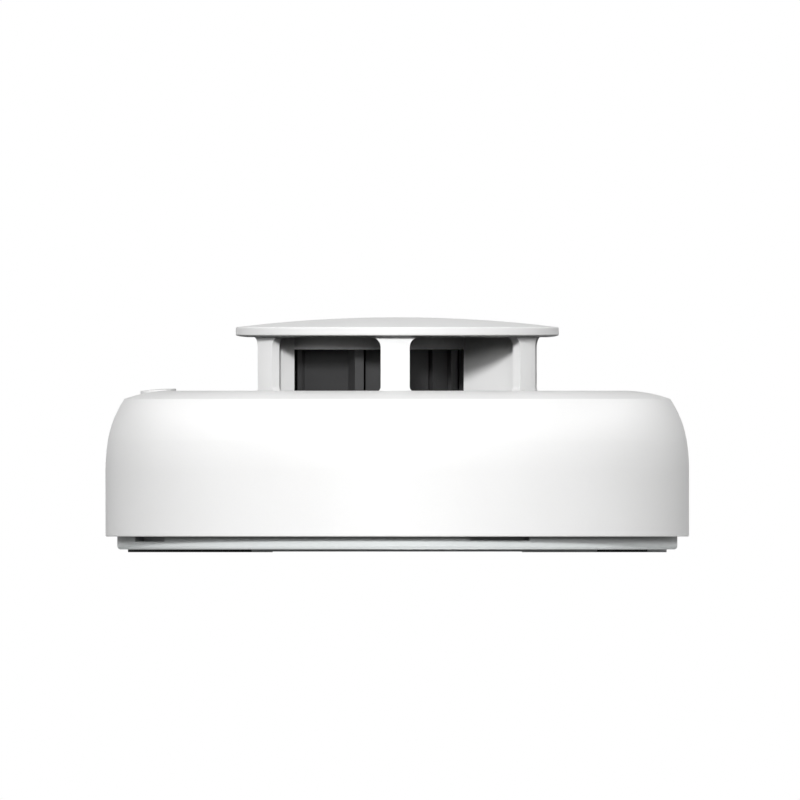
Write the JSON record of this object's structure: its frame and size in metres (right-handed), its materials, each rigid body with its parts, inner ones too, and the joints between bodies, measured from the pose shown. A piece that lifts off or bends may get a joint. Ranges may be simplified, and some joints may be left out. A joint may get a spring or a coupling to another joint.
{
  "type": "smoke detector",
  "caption": "Round optical smoke alarm: bowl-shaped casing on a twist-on mounting plate, raised sensing head with open windows under a low domed cap, and a small test button.",
  "frame": {"origin": "centre of the plane that the mounting plate's pads rest on, on the casing's axis", "axes": "+Z from the mounting surface out through the cap, -Y the front, +X to the right with the test button on the -X side"},
  "size_m": [0.116, 0.116, 0.0467],
  "materials": {
    "plate_plastic": "moulded, satin, cooler grey-white than the casing",
    "pad_rubber": "matt, dark",
    "casing_plastic": "fine moulded satin, neutral white",
    "back_plastic": "moulded, satin",
    "screw_steel": "zinc plated",
    "cage_plastic": "fine moulded satin, neutral white",
    "cap_plastic": "fine moulded satin, neutral white",
    "chamber_plastic": "matt black, light absorbing",
    "emitter_resin": "clear blue tinted",
    "photodiode_resin": "black epoxy",
    "board_laminate": "green solder mask",
    "chip_resin": "moulded black epoxy",
    "capacitor_can": "bare can",
    "inductor_ferrite": "dark ferrite",
    "passive_ceramic": "fired",
    "shield_tin": "tin plated",
    "switch_plastic": "moulded",
    "plunger_plastic": "moulded",
    "button_plastic": "moulded, slightly translucent",
    "led_resin": "clear resin",
    "cell_sleeve": "shrink sleeve",
    "contact_nickel": "nickel strip",
    "sounder_plastic": "moulded",
    "piezo_brass": "bare",
    "contact_spring": "bare"
  },
  "bodies": {
    "base": {"mounting_plate": "plate_plastic", "grip_pads": "pad_rubber"},
    "detector": {"housing_cover": "casing_plastic", "back_cover": "back_plastic", "housing_screws": "screw_steel", "sensor_cage": "cage_plastic", "vent_cap": "cap_plastic", "labyrinth_cover": "chamber_plastic", "chamber_base": "chamber_plastic", "ir_emitter": "emitter_resin", "photodiode": "photodiode_resin", "main_pcb": "board_laminate", "pcb_screws": "screw_steel", "microcontroller": "chip_resin", "smoke_asic": "chip_resin", "capacitors": "capacitor_can", "boost_inductor": "inductor_ferrite", "smd_passives": "passive_ceramic", "amplifier_shield": "shield_tin", "tact_switch": "switch_plastic", "status_led": "led_resin", "battery_cell": "cell_sleeve", "battery_contacts": "contact_nickel", "sounder_housing": "sounder_plastic", "piezo_disc": "piezo_brass", "sounder_contacts": "contact_spring"},
    "button": {"test_button": "button_plastic", "switch_plunger": "plunger_plastic"}
  },
  "joints": [
    {"name": "bayonet_twist", "type": "hinge", "parent": "base", "child": "detector", "pos_m": [0, 0, 0.0044], "axis": [0, 0, 1], "range_deg": [0, 14]},
    {"name": "button_press", "type": "slide", "parent": "detector", "child": "button", "axis": [0.0654, 0, -0.9979], "range_m": [0, 0.00035], "stiffness_N_per_m": 3000, "springref_m": -0.0002}
  ]
}
